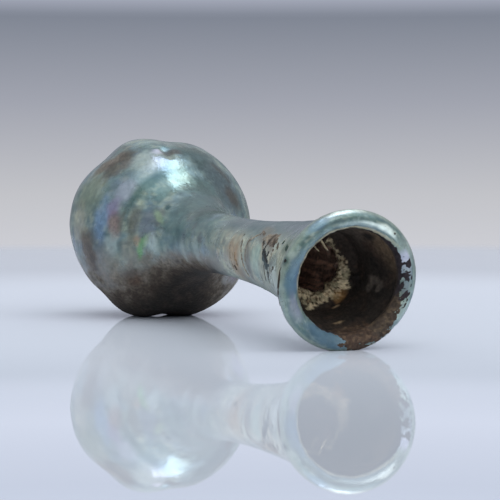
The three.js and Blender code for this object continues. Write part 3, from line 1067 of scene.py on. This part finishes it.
def glass_bottle():
    """The whole bottle as one mesh, with the strands in its throat, and everything that its finish reads."""
    bare = surface()
    strands = [strand_points(strand) for strand in STRANDS]
    points = Surface(*(np.concatenate(parts) for parts in zip(bare, *strands)))
    count = len(bare.radius)
    ring_count = count // SIDES
    ragged = grain(points.even, 2.2, 4, 53.0)
    torn = grain(points.even, 0.9, 4, 55.0)
    cover = cover_share(points, ragged, torn)
    places = laid_down(shaped(points))
    relief = relief_of(points, ragged, cover)[:count]
    places[:count] += normals_of(places[:count], ring_count) * relief[:, None]
    places[:, 2] = np.maximum(places[:, 2], 0)
    faces = [faces_of(ring_count, SIDES)]
    for number in range(len(STRANDS)):
        first = count + number * STRAND_STEPS * STRAND_SIDES
        faces.append(first + faces_of(STRAND_STEPS, STRAND_SIDES))
    bottle = mesh_object("weathered_bottle", places, np.concatenate(faces))
    skin = skin_colours(points, ragged)
    earth = earth_colours(points, skin, ragged, torn)
    earth[count:] = TINTS["pale_earth"]
    looks = {
        "tint": skin, "earth": earth, "cover": cover, "matt": matt_share(points, ragged),
        "dirt": dirt_share(points, ragged), "film": film_thickness(points),
    }
    for name, values in looks.items():
        give_attribute(bottle, name, values)
    join_poles(bottle)
    bottle.data.materials.append(bottle_material())
    return bottle


bottle = glass_bottle()
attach(bottle, "root")
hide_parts("glass_vessel")

SCENE = bpy.context.scene
SCENE.view_settings.view_transform = "Standard"

# The camera, at the photograph's viewing angle
CAMERA_PLACE = (0.3159, -0.1290, 0.0268)
CAMERA_AZIMUTH = math.radians(67.05)
CAMERA_PITCH = math.radians(1.86)
FOCAL_PIXELS = 1700
PICTURE_PIXELS = 500
SENSOR = 36
NEAREST_SEEN = 0.01


def camera():
    data = bpy.data.cameras.new("camera")
    data.sensor_width = SENSOR
    data.lens = SENSOR * FOCAL_PIXELS / PICTURE_PIXELS
    data.clip_start = NEAREST_SEEN
    made = bpy.data.objects.new("camera", data)
    made.location = CAMERA_PLACE
    ahead = Vector((
        -math.sin(CAMERA_AZIMUTH) * math.cos(CAMERA_PITCH),
        math.cos(CAMERA_AZIMUTH) * math.cos(CAMERA_PITCH),
        -math.sin(CAMERA_PITCH),
    ))
    made.rotation_euler = ahead.to_track_quat("-Z", "Y").to_euler()
    SCENE.collection.objects.link(made)
    SCENE.camera = made


# Soft square lights, aimed at the origin: name, place, size in metres, power in watts, and whether only
# gloss sees it
LIGHTS = [
    ("front", (0.50, 0.08, 0.95), 1.5, 12.2, False),
    ("glint", (0.0, 0.16, 1.0), 0.4, 5.0, True),
]


def softbox(name, place, size, power, only_gloss):
    data = bpy.data.lights.new(name, "AREA")
    data.shape = "RECTANGLE"
    data.size = size
    data.size_y = size
    data.energy = power
    made = bpy.data.objects.new(name, data)
    made.visible_diffuse = not only_gloss
    made.location = place
    made.rotation_euler = (-Vector(place)).to_track_quat("-Z", "Y").to_euler()
    SCENE.collection.objects.link(made)


# Backdrop tones by height above the horizon, as the vertical part of the direction looked in
BACKDROP = [
    (-0.03, tone(204, 205, 211)),
    (0.0, tone(194, 195, 200)),
    (0.054, tone(161, 164, 175)),
    (0.104, tone(128, 134, 147)),
    (0.113, tone(160, 165, 180)),
    (0.132, tone(182, 187, 203)),
    (0.175, tone(158, 165, 184)),
    (0.35, tone(206, 211, 214)),
    (0.6, tone(246, 250, 250)),
]
FLOOR_TONE = tone(232, 240, 255)
FLOOR_GLOSS = 0.6         # share of gloss at a grazing look, and seen from straight above
FLOOR_GLOSS_ABOVE = 0.03
FLOOR_GLOSS_TONE = (0.99, 0.98, 1)
FLOOR_ROUGHNESS = 0.015
FLOOR_SIDES = 96
FLOOR_RADIUS = 0.62
FLOOR_FADE_START = 0.46
POOL_MIDDLE = (-0.05, 0.03, 0)     # where the light on the floor is brightest
POOL_START, POOL_END = 0.10, 0.24  # metres from there, from where the floor darkens, and to where
POOL_LOSS = 0.24


def backdrop():
    world = bpy.data.worlds.new("backdrop")
    SCENE.world = world
    world.use_nodes = True
    add = nodes_of(world.node_tree)
    direction = add("ShaderNodeTexCoord").outputs["Generated"]
    height = add("ShaderNodeSeparateXYZ", {"Vector": direction}).outputs["Z"]
    low, high = BACKDROP[0][0], BACKDROP[-1][0]
    ramp = add("ShaderNodeValToRGB", {"Fac": mapped(add, height, low, high)})
    stops = ramp.color_ramp.elements
    while len(stops) < len(BACKDROP):
        stops.new(0.5)
    for stop, (place, colour) in zip(stops, BACKDROP):
        stop.position = (place - low) / (high - low)
        stop.color = (*colour, 1)
    light = add("ShaderNodeBackground", {"Color": ramp.outputs["Color"], "Strength": 1.0})
    add("ShaderNodeOutputWorld", {"Surface": light.outputs["Background"]})


def floor():
    """A round glossy floor whose edge fades into the backdrop."""
    mesh = bpy.data.meshes.new("floor")
    turns = np.arange(FLOOR_SIDES) * 2 * math.pi / FLOOR_SIDES
    rim = np.stack([np.cos(turns), np.sin(turns), np.zeros(FLOOR_SIDES)], 1) * FLOOR_RADIUS
    mesh.from_pydata(rim.tolist(), [], [list(range(FLOOR_SIDES))])
    made = bpy.data.objects.new("floor", mesh)
    SCENE.collection.objects.link(made)
    mesh.materials.append(floor_material())


def floor_material():
    """Pale and matt, glossier at a grazing look, darker away from the pool of light, clear at its edge."""
    material = bpy.data.materials.new("floor")
    material.use_nodes = True
    add = nodes_of(material.node_tree)
    place = add("ShaderNodeTexCoord").outputs["Object"]
    away = add("ShaderNodeVectorMath", {0: place}, operation="LENGTH").outputs["Value"]
    fade = mapped(add, away, FLOOR_FADE_START, FLOOR_RADIUS, interpolation_type="SMOOTHSTEP")
    from_pool = add("ShaderNodeVectorMath", {
        0: place, 1: POOL_MIDDLE,
    }, operation="DISTANCE").outputs["Value"]
    pool = mapped(add, from_pool, POOL_START, POOL_END, 1, 1 - POOL_LOSS, interpolation_type="SMOOTHSTEP")
    pale = add("ShaderNodeVectorMath", {0: FLOOR_TONE, 3: pool}, operation="SCALE").outputs["Vector"]
    matt = add("ShaderNodeBsdfDiffuse", {"Color": pale}).outputs["BSDF"]
    gloss = add("ShaderNodeBsdfGlossy", {
        "Color": (*FLOOR_GLOSS_TONE, 1), "Roughness": FLOOR_ROUGHNESS,
    }).outputs["BSDF"]
    grazing = add("ShaderNodeFresnel", {"IOR": GLASS_IOR}).outputs["Fac"]
    share = mapped(add, grazing, 0.04, 0.4, FLOOR_GLOSS_ABOVE, FLOOR_GLOSS)
    surface_mix = add("ShaderNodeMixShader", {"Fac": share, 1: matt, 2: gloss}).outputs["Shader"]
    clear = add("ShaderNodeBsdfTransparent").outputs["BSDF"]
    ended = add("ShaderNodeMixShader", {"Fac": fade, 1: surface_mix, 2: clear}).outputs["Shader"]
    add("ShaderNodeOutputMaterial", {"Surface": ended})
    return material


camera()
backdrop()
floor()
for light in LIGHTS:
    softbox(*light)
